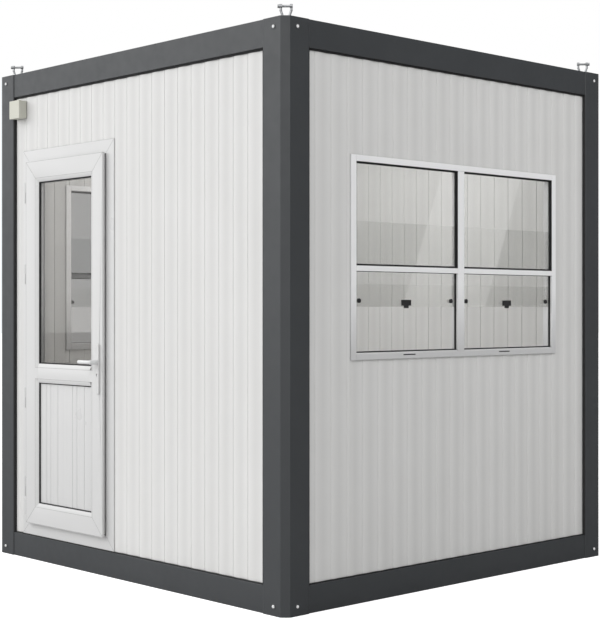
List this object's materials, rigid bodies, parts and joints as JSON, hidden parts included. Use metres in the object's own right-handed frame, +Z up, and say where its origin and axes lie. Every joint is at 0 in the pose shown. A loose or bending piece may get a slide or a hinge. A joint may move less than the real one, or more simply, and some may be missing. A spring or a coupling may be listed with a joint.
{
  "type": "security guard booth",
  "caption": "Square container-type guard booth: bolted steel frame with ribbed white walls, a glazed hinged door and serving windows with raised sashes.",
  "frame": {"origin": "middle of the square footprint at ground level", "axes": "+Z up, the serving window wall faces -Y, the door wall faces -X"},
  "size_m": [2.3935, 2.325, 2.666],
  "materials": {
    "frame_steel": "satin anthracite paint",
    "wall_panel": "matt white coated sheet",
    "door_plastic": "smooth white",
    "window_frame": "satin white aluminium",
    "glass": "clear",
    "black_plastic": "matt black",
    "handle_metal": "satin white",
    "zinc_steel": "galvanised",
    "box_plastic": "matt cream",
    "floor_deck": "grey faced board",
    "roof_sheet": "zinc coated sheet"
  },
  "bodies": {
    "booth": {"post_front_left": "frame_steel", "post_front_right": "frame_steel", "post_back_right": "frame_steel", "post_back_left": "frame_steel", "front_top_rail": "frame_steel", "right_top_rail": "frame_steel", "back_top_rail": "frame_steel", "left_top_rail": "frame_steel", "front_bottom_rail": "frame_steel", "right_bottom_rail": "frame_steel", "back_bottom_rail": "frame_steel", "left_bottom_rail": "frame_steel", "floor_joists": "frame_steel", "floor_deck": "floor_deck", "ceiling_panel": "wall_panel", "roof_sheet": "roof_sheet", "corner_covers": "wall_panel", "front_wall_sides": "wall_panel", "front_wall_below_window": "wall_panel", "front_wall_above_window": "wall_panel", "back_wall_sides": "wall_panel", "back_wall_below_window": "wall_panel", "back_wall_above_window": "wall_panel", "door_wall_hinge_side": "wall_panel", "door_wall_lock_side": "wall_panel", "door_wall_over_door": "wall_panel", "right_wall": "wall_panel", "front_window_uprights": "window_frame", "front_window_crossbars": "window_frame", "back_window_uprights": "window_frame", "back_window_crossbars": "window_frame", "fixed_panes": "glass", "sliding_panes": "glass", "sash_catches": "black_plastic", "door_frame_jambs": "door_plastic", "door_frame_crosspieces": "door_plastic", "frame_hinges": "door_plastic", "front_lifting_eyes": "zinc_steel", "back_lifting_eyes": "zinc_steel", "junction_box": "box_plastic"},
    "door": {"door_stiles": "door_plastic", "door_rails": "door_plastic", "door_glass": "glass", "door_lower_panel": "door_plastic", "door_hinges": "door_plastic", "handle_plates": "door_plastic"},
    "handle": {"door_handle": "handle_metal"}
  },
  "joints": [
    {"name": "door_swing", "type": "hinge", "parent": "booth", "child": "door", "pos_m": [-1.16625, 0.8865, 1.066], "axis": [0, 0, -1], "range_deg": [0, 110]},
    {"name": "handle_turn", "type": "hinge", "parent": "door", "child": "handle", "pos_m": [-1.1725, 0.2095, 1.066], "axis": [-1, 0, 0], "range_deg": [0, 45], "stiffness_Nm_per_rad": 1.2, "springref_deg": -28.65}
  ]
}
